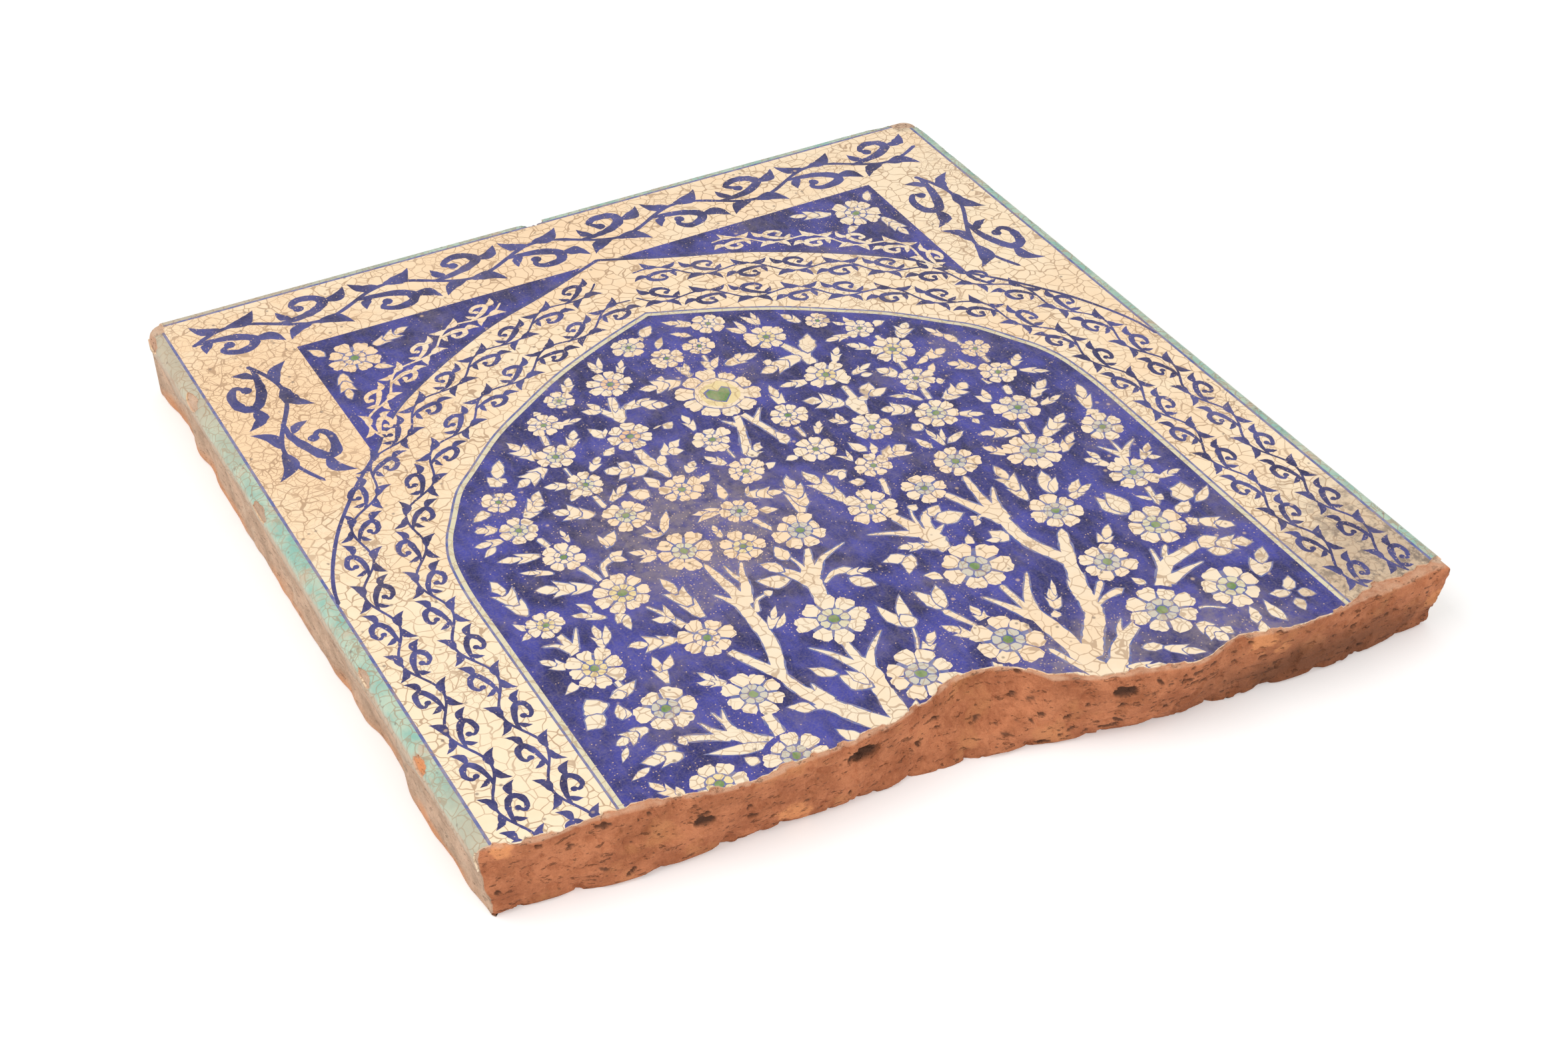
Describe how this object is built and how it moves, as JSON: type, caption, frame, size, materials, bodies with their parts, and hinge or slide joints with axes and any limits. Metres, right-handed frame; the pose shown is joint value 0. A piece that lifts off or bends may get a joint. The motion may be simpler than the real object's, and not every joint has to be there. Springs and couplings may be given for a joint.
{
  "type": "glazed pottery tile",
  "caption": "Thick square glazed earthenware wall tile with a painted arched panel of flowering trees, one edge broken away.",
  "frame": {"origin": "middle of the underside, on the surface it lies on", "axes": "+X across the painted design from left to right, +Y towards the design's upper edge, +Z out of the glazed face"},
  "size_m": [0.4328, 0.4377, 0.037],
  "materials": {
    "glazed_clay": "gloss painted glaze on the face and rim, bare rough red clay on the sides, break and back"
  },
  "bodies": {
    "root": {"tile": "glazed_clay"}
  },
  "joints": []
}
